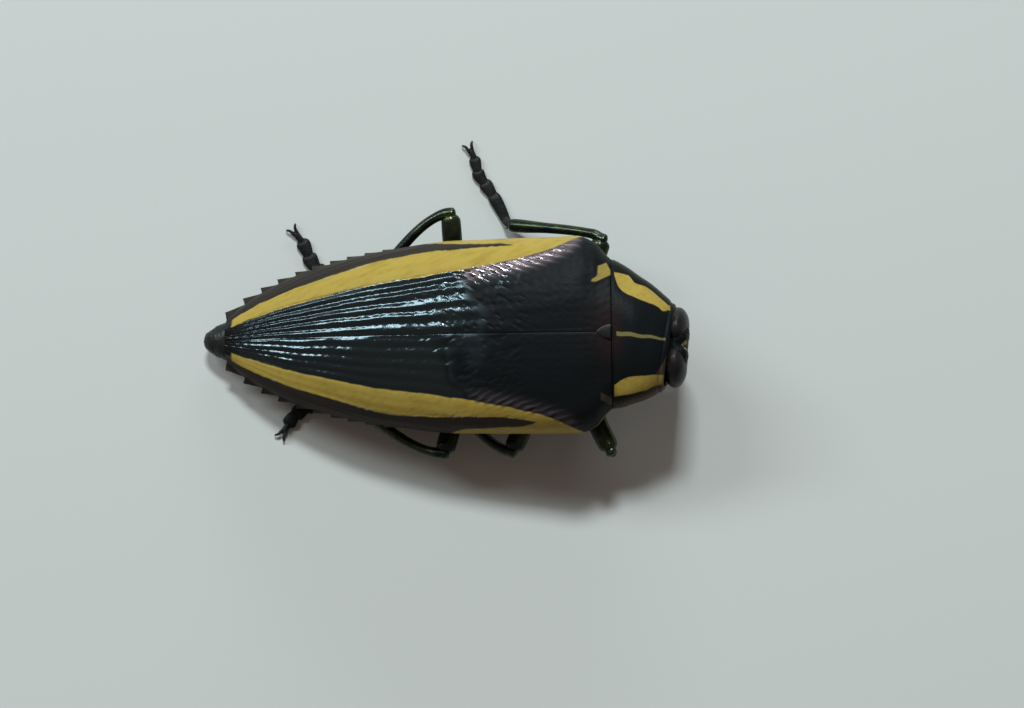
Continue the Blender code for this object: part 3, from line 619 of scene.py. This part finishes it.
collar_horn, sockets, start = new_finish("collar_horn", 0.36, 0.05)
speckle = start.noise(1.2)
grain = start.noise(9, 4)
painted = (start.mark("yellow_mm") + (speckle - 0.5) * 0.12).ease(-0.04, 0.04)
thin_line = (start.mark("line_mm") + (speckle - 0.5) * 0.05).ease(-0.03, 0.03)
horn = start.mark("green").mix(HORN_DULL, HORN_GREEN)
horn = start.mark("brown").mix(horn, HORN_RED)
horn = start.mark("tan").mix(horn, HORN_TAN)
paint = start.noise(3, 5).ease(0.1, 0.7).mix(YELLOW_DEEP, YELLOW)
paint = start.mark("tan").mix(paint, HORN_TAN)
horn = thin_line.mix(horn, LINE_PAINT)
pitting = start.cells(5).ease(0.08, 0.40)
feed(
    sockets,
    Base_Color=painted.mix(horn, paint),
    Roughness=grain * 0.15 + start.mark("gloss") * -0.14 + 0.36,
    Normal=(pitting * 0.5 + grain * 0.25).bump(0.009),
)
make_piece("collar", [collar_skin], collar_horn, ["prothorax"],
           {"yellow_mm": [patches], "line_mm": [middle], "green": [flank], "gloss": [flank],
            "brown": [0.8 * dip(ahead - 0.1, 0.35) * dip(beside, 1.5)], "tan": [tan]})


# ---- Head
# A short upright capsule sunk in the collar, with a steep face. A furrow runs down its middle from the crown, with a
# yellow spot at its top. Feelers rise from pits beside the upper lip, and a lip plate and short palps hang below.

HEAD_LENGTH, HEAD_SUNK, HEAD_SHIFT, FACE_LEAN = 2.0, 0.95, 0.14, 0.2
HEAD_TURN = math.radians(6)
HEAD_HALF_WIDTH, HEAD_HALF_HEIGHT = 2.25, 1.85


def neck_place(points):
    """Head frame to the row's frame: a turn back to the left, a shift, and the collar's front."""
    c, s = math.cos(HEAD_TURN), math.sin(HEAD_TURN)
    x, y, z = np.moveaxis(points, -1, 0)
    return from_body(fore_place(np.stack([x * c - y * s, x * s + y * c + HEAD_SHIFT, z], -1), 1.0))


travel = np.linspace(0, 1, 120)[:, None]
head_share = smooth((0, 0), (0.3, 0.4), (0.42, 0.55), (0.55, 0.7), (0.68, 0.85), (0.8, 0.95), (0.9, 1),
                    (1, 1.04))(travel)
head_size = smooth((0, 0.70), (0.3, 0.80), (0.42, 0.95), (0.55, 0.98), (0.68, 0.88), (0.8, 0.66), (0.9, 0.42),
                   (1, 0.01))(travel)
turn = np.linspace(0, 2 * math.pi, 180, endpoint=False)[None, :]
y = HEAD_HALF_WIDTH * head_size * np.cos(turn) * (1 - 0.16 * (1 - np.sin(turn)))
z = HEAD_HALF_HEIGHT * head_size * np.sin(turn) - 0.3 - 0.4 * head_share
x = HEAD_LENGTH * head_share - HEAD_SUNK + FACE_LEAN * head_share * (z + 0.6)
face = step_up(0.35, 0.6, travel)
furrow = (0.30 * dip(y, 0.26) + 0.10 * dip(y, 0.08)) * step_up(-0.9, 0.5, z)
frown = 0.14 * dip(y, 0.6) * dip(z + 0.35, 0.7)
feeler_pits = 0.22 * dip(abs(y) - 0.85, 0.26) * dip(z + 1.55, 0.26)
lip_line = 0.12 * dip(z + 1.85 - 0.12 * np.cos(3 * y), 0.09) * (1 - step_up(0.75, 1.0, abs(y)))
crown_pits = 0.035 * pits(x / 0.2 + 9, y / 0.2, 0.3, 51) + 0.03 * pits(z / 0.2 + 5, y / 0.2, 0.3, 52)
head_relief = 0.03 * ripple(y * 2.2, z * 2.2, 53) - crown_pits - (furrow + frown + feeler_pits + lip_line)
head_form = raised(np.stack([x, y, z], -1), head_relief * face)
spot = np.minimum(0.30 - abs(y), 0.32 - abs(z - 0.62)) + 0.4 * face - 0.4


def ball(radii, centre, rows=28, points=32):
    """An ellipsoid in rings from pole to pole along x, each radius times the sphere's cos and sin."""
    polar = np.linspace(0.02, math.pi - 0.02, rows)[:, None]
    turn = np.linspace(0, 2 * math.pi, points, endpoint=False)[None, :]
    unit = np.stack([np.broadcast_to(np.cos(polar), (rows, points)), np.sin(polar) * np.cos(turn),
                     np.sin(polar) * np.sin(turn)], -1)
    return unit * radii + centre


def follow(path, share, step):
    """Places at these shares of a smooth path's length, and its unit directions over a step to either side."""
    stops = np.array(path, float)
    run = np.concatenate([[0], np.cumsum(np.linalg.norm(np.diff(stops, axis=0), axis=1))])
    curves = [smooth(*zip(run / run[-1], stops[:, axis])) for axis in range(stops.shape[1])]
    later, earlier = np.minimum(share + step, 1), np.maximum(share - step, 0)
    here = np.concatenate([curve(share) for curve in curves], axis=1)
    ahead = np.concatenate([curve(later) - curve(earlier) for curve in curves], axis=1)
    return here, ahead / np.linalg.norm(ahead, axis=1, keepdims=True)


def even(value):
    """A width that stays the same along a path."""
    return lambda share: value + 0 * share


def limb(path, half_width, half_height, start=0.0, end=1.0, power=2.0, rows=48, points=28, tip=0.03):
    """A superellipse carried along a smooth path, its ends rounded over the share tip of the length.

    Its side direction is level, up x forward, and its raised one is forward x side. Width and height are functions
    of the share of the whole path.
    """
    part = (1 - np.cos(np.linspace(0, math.pi, rows))) / 2
    share = (start + (end - start) * part)[:, None]
    here, ahead = follow(path, share, 0.01)
    side = np.cross((0, 0, 1), ahead)
    side /= np.linalg.norm(side, axis=1, keepdims=True)
    same_way = np.concatenate([[1], np.where(np.sum(side[1:] * side[:-1], axis=1) < 0, -1, 1)])
    side *= np.cumprod(same_way)[:, None]
    upward = np.cross(ahead, side)
    near_end = np.clip(np.minimum(part, 1 - part) / tip, 0, 1)[:, None]
    round_off = np.sqrt(1 - (1 - near_end) ** 2) * 0.98 + 0.02
    turn = np.linspace(0, 2 * math.pi, points, endpoint=False)[None, :]
    wide = half_width(share) * round_off * np.sign(np.cos(turn)) * abs(np.cos(turn)) ** (2 / power)
    high = half_height(share) * round_off * np.sign(np.sin(turn)) * abs(np.sin(turn)) ** (2 / power)
    return here[:, None] + wide[..., None] * side[:, None] + high[..., None] * upward[:, None]


lip = ball((0.16, 0.55, 0.30), (0.62, 0, -2.28))
palps = []
for side in (1, -1):
    for number in range(3):
        low = -2.72 - 0.26 * number
        path = [(0.02 + 0.14 * number, side * (0.78 + 0.05 * number), low),
                (0.14 + 0.14 * number, side * 0.8, low - 0.31)]
        swell = smooth((0, 0.07), (0.7, 0.12), (1, 0.10))
        palps.append(limb(path, swell, swell, rows=12, points=12, tip=0.15))
head_bodies = [neck_place(part) for part in (head_form, lip, *palps)]
make_piece("head_capsule", head_bodies, collar_horn, ["head"],
           {"yellow_mm": [spot, *even_mark([lip, *palps], -1)], "line_mm": even_mark(head_bodies, -1),
            "gloss": even_mark(head_bodies, 1)}, crease=70)

for side, name in ((1, "left"), (-1, "right")):
    jaw_size = smooth((0, 0.34), (0.6, 0.27), (1, 0.08))
    jaw = limb([(0.15, side * 0.66, -2.35), (0.38, side * 0.55, -2.8), (0.3, side * 0.12, -3.18)], jaw_size, jaw_size,
               rows=26, points=20, tip=0.1)
    make_piece(f"jaw_{name}", [neck_place(jaw)], plain_horn, [f"mandible_{name}"],
               pitted_marks(jaw, 0.1, 0.0))


# ---- Eyes
# Two large upright ovals on the sides of the head, which lean together over the crown. Each is a smooth dark dome of
# tiny facets, and its back reaches into the collar's cup.

EYE_RADII = (0.72, 1.16, 1.5)
EYE_SEAT = (0.34, 1.25, 0.05)
EYE_LEAN = math.radians(24)
facet_horn, sockets, start = new_finish("eye_facets", 0.2, 0.18)
facets = start.cells(24).ease(0.1, 0.5)
cloud = start.noise(1.6, 3)
feed(
    sockets,
    Base_Color=cloud.ease(0.35, 0.65).mix((0.006, 0.006, 0.006, 1), (0.016, 0.014, 0.014, 1)),
    Roughness=cloud * 0.12 + 0.26,
    Normal=(1 - facets).bump(0.006),
)
for side, name in ((1, "left"), (-1, "right")):
    dome = ball(EYE_RADII, (0, 0, 0), 60, 90)
    x, y, z = np.moveaxis(dome, -1, 0)
    lean = side * EYE_LEAN
    seated = np.stack([x + EYE_SEAT[0], y * math.cos(lean) - z * math.sin(lean) + side * EYE_SEAT[1],
                       y * math.sin(lean) + z * math.cos(lean) + EYE_SEAT[2]], -1)
    make_piece(f"eye_dome_{name}", [neck_place(seated)], facet_horn, [f"eye_{name}"])


# ---- Feelers
# Eleven joints each, folded back under the head: three slender ones, then eight flat ones that widen on one side like
# the teeth of a saw. They are dull black horn.

FEELER_JOINTS = 11
for side, name in ((1, "left"), (-1, "right")):
    feeler_path = [(0.6, side * 0.9, -2.1), (0.38, side * 1.34, -2.45), (-0.3, side * 1.5, -2.72),
                   (-1.3, side * 1.55, -2.75), (-2.3, side * 1.6, -2.75)]
    joints = []
    for number in range(FEELER_JOINTS):
        saw_edge = 0.40 if number > 2 else 0.24
        begin, finish_at = number / FEELER_JOINTS, min(number + 1.15, FEELER_JOINTS) / FEELER_JOINTS
        widen = smooth((begin, 0.12), ((begin + 3 * finish_at) / 4, saw_edge), (finish_at, saw_edge * 0.8))
        joints.append(limb(feeler_path, widen, even(0.16), begin, finish_at,
                           rows=16, points=20, tip=0.12))
    make_piece(f"feeler_{name}", [neck_place(joint) for joint in joints], plain_horn, [f"antenna_{name}"],
               {"pitted": even_mark(joints, 0.5)})


# ---- Legs
# Six legs of hard horn with a metallic green sheen: a rounded hip, a stout ridged thigh, a slim shin with two short
# spurs, and a foot of five lobed joints with flat pads, two claws and a short neck up to the shin. The front thighs
# reach forward and out.

THIGH_HALF_WIDTH, THIGH_HALF_HEIGHT = 0.62, 0.44
SHIN_HALF_WIDTH, SHIN_HALF_HEIGHT = 0.33, 0.27
HIP_RADIUS, KNEE_REACH, KNEE_SIDE = 0.72, 0.26, 0.72
FOOT_JOINTS, FOOT_HALF_WIDTH, FOOT_HEIGHT = 5, 0.4, 0.42
ANKLE_HALF_WIDTH, ANKLE_HALF_HEIGHT = 0.22, 0.19
CLAW_SPREAD = math.radians(32)

leg_horn, sockets, start = new_finish("leg_horn", 0.24)
cloud = start.noise(0.9)
grain = start.noise(11, 4)
sheen = cloud.ease(0.35, 0.65).mix((0.026, 0.036, 0.036, 1), (0.060, 0.080, 0.042, 1))
pitting = start.cells(8).ease(0.1, 0.45)
feed(
    sockets,
    Base_Color=sheen,
    Metallic=0.92 - grain * 0.1,
    Roughness=grain * 0.16 + 0.16,
    Normal=(pitting * 0.6 + grain * 0.3).bump(0.014),
)
foot_horn, sockets, start = new_finish("foot_horn", 0.42, 0.2)
grain = start.noise(12, 4)
feed(
    sockets,
    Base_Color=start.noise(1.5).ease(0.35, 0.65).mix((0.006, 0.008, 0.008, 1), (0.014, 0.016, 0.014, 1)),
    Roughness=grain * 0.25 + 0.34,
    Normal=(start.cells(9).ease(0.1, 0.45) + grain * 0.4).bump(0.016),
)

leg_shift = body_place - (10.15, BODY_SHIFT, MARGIN_HEIGHT)
thigh_swell = smooth((0, 0.5), (0.12, 0.78), (0.4, 1), (0.75, 1), (0.93, 0.97), (1, 0.9))
shin_swell = smooth((0, 1.0), (0.04, 1.12), (0.1, 1.05), (0.22, 0.92), (0.6, 1.0), (0.92, 1.3), (1, 1.15))
joint_swell = smooth((0, 0.62), (0.15, 0.72), (0.5, 0.92), (0.8, 1.0), (0.95, 0.88), (1, 0.7))
foot_edges = (0, 0.36, 0.54, 0.7, 0.85, 1)
foot_widths = (1.03, 1.08, 1.04, 0.95, 0.5)


def foot_bodies(toes, breadth):
    """Five joints along the foot's level path, each widest near its end, and two hooked claws.

    A joint's cross-section is a flat sole, at the floor, under a rounded back: across = w cos(t) with its height
    h sin(t) kept above the sole. Its sides reach ahead of its middle, as two lobes.
    """
    turn = np.linspace(0, 2 * math.pi, 26, endpoint=False)[None, :]
    bodies = []
    for number in range(FOOT_JOINTS):
        last = number == FOOT_JOINTS - 1
        local = (1 - np.cos(np.linspace(0, math.pi, 22)))[:, None] / 2
        begin, finish_at = foot_edges[number:number + 2]
        share = begin + (finish_at - begin) * (local * (1 if last else 1.22) - 0.02)
        share = np.clip(share, 0, 1)
        near_end = np.clip(np.minimum(local / 0.08, (1 - local) / 0.3), 0, 1)
        round_off = np.sqrt(1 - (1 - near_end) ** 2) * 0.97 + 0.03
        wide = FOOT_HALF_WIDTH * foot_widths[number] * (1 if last else joint_swell(local) * breadth) * round_off
        here, step = follow(toes, share, 0.02)
        across = wide * np.cos(turn)
        lobes = 0.16 * local**3 * (abs(np.cos(turn)) - 0.4) * (0 if last else 1)
        top = FOOT_HEIGHT * (0.5 + 0.5 * joint_swell(local)) * (0.9 if last else 1) * round_off**0.5
        lift = 0.2 * np.maximum(0, 1 - share / 0.16) + 0.12 * (1 - step_up(0, 0.4, local))
        sole = lift if not last else lift * 0 + 0.03
        middle, reach = (top + sole) / 2, (top - sole) / 2 * (1 - (1 - round_off) * 0.7)
        height = middle + reach * np.sign(np.sin(turn)) * abs(np.sin(turn)) ** 0.8
        height = np.maximum(height, sole)
        bodies.append(np.stack([
            here[:, :1] + across * -step[:, 1:] + lobes * step[:, :1],
            here[:, 1:] + across * step[:, :1] + lobes * step[:, 1:],
            np.broadcast_to(height, across.shape),
        ], -1))
    end, before = toes[-1], toes[-2]
    straight = (end - before) / np.linalg.norm(end - before)
    for side in (1, -1):
        cross = np.array([-straight[1], straight[0]]) * side
        fan = straight * math.cos(CLAW_SPREAD) + cross * math.sin(CLAW_SPREAD)
        hook = [(*(end - straight * 0.3 + cross * 0.1), 0.26), (*(end + cross * 0.12 + fan * 0.18), 0.32),
                (*(end + cross * 0.15 + fan * 0.32), 0.25), (*(end + cross * 0.12 + fan * 0.41), 0.06)]
        size = smooth((0, 0.11), (0.5, 0.09), (1, 0.025))
        bodies.append(limb(hook, size, size, rows=18, points=12, tip=0.06))
    return bodies


def make_leg(name, hip_at, hip_radii, knee, ankle, toes, sag=0.0, breadth=1.0):
    """Dresses one leg. The hip is in the body frame; the knee, the ankle and the toes are where the solids are."""
    hip = from_body(np.array(hip_at, float))
    knee, ankle = np.array(knee) + leg_shift, np.array(ankle) + leg_shift
    toes = [np.array(toe) + leg_shift[:2] for toe in toes]

    rings = ball(hip_radii, hip_at, 30, 36)
    x, y, z = np.moveaxis(rings - hip_at, -1, 0)
    socket = from_body(raised(rings, 0.02 * ripple(x * 3, y * 3, 61) - 0.05 * dip(z + 0.15, 0.07)))
    make_piece(f"{name}_hip", [socket], plain_horn, [f"{name}_coxa"], pitted_marks(rings, 0.5, 0.6))

    reach = (knee - hip) / np.linalg.norm(knee - hip)
    start = hip + reach * (hip_radii[1] + 0.2) + (0, 0, -0.3)
    middle = (start + knee) / 2 + (sag, 0, 0)
    thigh = limb(
        [start, middle, knee + (knee - middle) / np.linalg.norm(knee - middle) * 0.28],
        lambda share: THIGH_HALF_WIDTH * thigh_swell(share),
        lambda share: THIGH_HALF_HEIGHT * thigh_swell(share),
        power=1.75, rows=64, points=40, tip=0.1,
    )
    saddle = limb([hip + reach * 0.35, start + reach * 0.35], even(0.36),
                  even(0.34), rows=22, points=24, tip=0.3)
    make_piece(f"{name}_thigh", [thigh, saddle], leg_horn, [f"{name}_femur"])

    outward = (knee - middle) / np.linalg.norm(knee - middle)
    shin_line = (ankle - knee) / np.linalg.norm(ankle - knee)
    fold = outward @ shin_line
    beside = (shin_line - outward * fold) / np.linalg.norm(shin_line - outward * fold)
    hook = [
        knee + outward * KNEE_REACH - beside * 0.35,
        knee + outward * (KNEE_REACH + 0.02) + beside * 0.1,
        knee + outward * (0.45 + 0.5 * fold) + beside * KNEE_SIDE,
    ]
    foot_way = (toes[0] - ankle[:2]) / np.linalg.norm(toes[0] - ankle[:2])
    shin = limb(
        [*hook, ankle],
        lambda share: SHIN_HALF_WIDTH * shin_swell(share),
        lambda share: SHIN_HALF_HEIGHT * shin_swell(share),
        power=1.7, rows=64, points=32,
    )
    hinge = limb([knee - outward * 0.3, knee + outward * (KNEE_REACH - 0.05)], even(0.42),
                 even(0.30), rows=18, points=20, tip=0.35)
    side = np.array([-shin_line[1], shin_line[0], 0])
    spur_size = smooth((0, 0.07), (1, 0.015))
    spurs = [
        limb([ankle - shin_line * 0.25 + side * 0.16 * way - (0, 0, 0.1),
              ankle + shin_line * 0.22 + side * 0.26 * way - (0, 0, 0.2)], spur_size, spur_size,
             rows=10, points=8, tip=0.05)
        for way in (1, -1)
    ]
    make_piece(f"{name}_shin", [shin, hinge, *spurs], leg_horn, [f"{name}_tibia"])

    heel = ankle[:2] + foot_way * 0.12
    # The ankle: a short neck from the shin's end down into the first joint
    neck_path = [ankle - shin_line * 0.15, (*heel, (ankle[2] + FOOT_HEIGHT) / 2),
                 (*(heel + foot_way * 0.45), FOOT_HEIGHT * 0.75)]
    neck = limb(neck_path, even(ANKLE_HALF_WIDTH), even(ANKLE_HALF_HEIGHT),
                rows=20, points=20, tip=0.2)
    make_piece(f"{name}_foot", [*foot_bodies([heel, *toes], breadth), neck], foot_horn, [f"{name}_tarsus"])


GLOBE = (HIP_RADIUS, HIP_RADIUS * 1.1, HIP_RADIUS)
PLATE = (HIP_RADIUS * 1.15, HIP_RADIUS * 1.6, HIP_RADIUS * 0.8)
make_leg("foreleg_left", (-0.75, 1.35, -2.45), GLOBE, (9.5, 5.88, 3.6), (3.8, 7.3, 0.8),
         [(3.05, 8.8), (2.45, 9.75), (1.9, 10.55), (1.62, 11.55), (1.3, 12.25)], sag=-0.6)
make_leg("foreleg_right", (-0.75, -1.35, -2.45), GLOBE, (10.0, -6.75, 3.7), (8.55, -2.4, 0.8),
         [(6.2, -1.9), (3.3, -1.7)], sag=-0.8)
make_leg("midleg_left", (-4.1, 1.4, -2.75), GLOBE, (3.3, 5.4, 1.6), (-1.8, 3.3, 0.6), [(-4.3, 2.5), (-6.6, 2.0)])
make_leg("midleg_right", (-4.1, -1.4, -2.75), GLOBE, (4.1, -6.75, 2.5), (-0.1, -3.5, 0.62),
         [(-2.8, -2.9), (-5.2, -2.5)])
make_leg("hindleg_left", (-9.35, 1.5, -2.5), PLATE, (0.18, 7.58, 2.5), (-4.9, 3.6, 0.8),
         [(-7.2, 3.9), (-8.45, 4.75), (-9.2, 6.2), (-9.78, 6.98)], sag=-0.25, breadth=1.2)
make_leg("hindleg_right", (-9.35, -1.5, -2.5), PLATE, (-0.15, -6.85, 2.4), (-5.9, -4.1, 0.8),
         [(-8.3, -4.0), (-9.65, -4.65), (-10.1, -5.3), (-10.45, -5.85)], breadth=1.2)


# ---- Camera, light and floor
# A small window to the beetle's left casts the shadow, a long dim one behind it draws the streaks on the ribs, and a
# low one lights the steep left flanks. The room is dim and warm, so that the black horn stays black.

CAMERA_DISTANCE = 170.0
CAMERA_TILT = math.radians(3)
FOCAL_SHARE = 2.6953125
LAMP_DISTANCE = 0.8
aim = body_place + (4.0 - 10.15, -1.0 - BODY_SHIFT, 4.0 - MARGIN_HEIGHT)

camera_data = bpy.data.cameras.new("camera")
camera_data.sensor_width = 36
camera_data.lens = camera_data.sensor_width * FOCAL_SHARE
camera_data.clip_start, camera_data.clip_end = 0.005, 5
camera = bpy.data.objects.new("camera", camera_data)
camera.location = (aim + CAMERA_DISTANCE * np.array([0, -math.sin(CAMERA_TILT), math.cos(CAMERA_TILT)])) * MM
camera.rotation_euler = (CAMERA_TILT, 0, 0)
bpy.context.scene.collection.objects.link(camera)
bpy.context.scene.camera = camera

floor_paint, sockets, start = new_finish("floor_paint", 0.55)
sockets["Base Color"].default_value = (0.60, 0.64, 0.61, 1)
floor_mesh = bpy.data.meshes.new("floor")
floor_mesh.from_pydata([(-1, -1, 0), (1, -1, 0), (1, 1, 0), (-1, 1, 0)], [], [(0, 1, 2, 3)])
floor_mesh.materials.append(floor_paint)
floor = bpy.data.objects.new("floor", floor_mesh)
bpy.context.scene.collection.objects.link(floor)

world = bpy.data.worlds.new("dim_room")
world.use_nodes = True
world.node_tree.nodes["Background"].inputs["Color"].default_value = (1.0, 0.76, 0.68, 1)
world.node_tree.nodes["Background"].inputs["Strength"].default_value = 0.13
bpy.context.scene.world = world


def soft_lamp(name, azimuth, elevation, size, roll, power):
    """A rectangular lamp that faces the beetle from this side and height, turned about its own axis."""
    data = bpy.data.lights.new(name, "AREA")
    data.shape = "RECTANGLE"
    data.size, data.size_y, data.energy, data.color = *size, power, (0.89, 0.965, 1.0)
    lamp = bpy.data.objects.new(name, data)
    a, e = math.radians(azimuth), math.radians(elevation)
    lamp.location = np.array([math.cos(e) * math.cos(a), math.cos(e) * math.sin(a), math.sin(e)]) * LAMP_DISTANCE
    facing = Matrix.Rotation(a + math.pi / 2, 3, "Z") @ Matrix.Rotation(math.pi / 2 - e, 3, "X")
    lamp.rotation_euler = (facing @ Matrix.Rotation(math.radians(roll), 3, "Z")).to_euler()
    bpy.context.scene.collection.objects.link(lamp)


soft_lamp("window", 91, 50, (0.17, 0.09), 0, 4.55)
soft_lamp("long_window", 139, 38, (0.46, 0.11), -32, 2.5)
soft_lamp("low_window", 80, 16, (0.45, 0.16), 0, 1.5)

bpy.context.scene.view_settings.view_transform = "Standard"
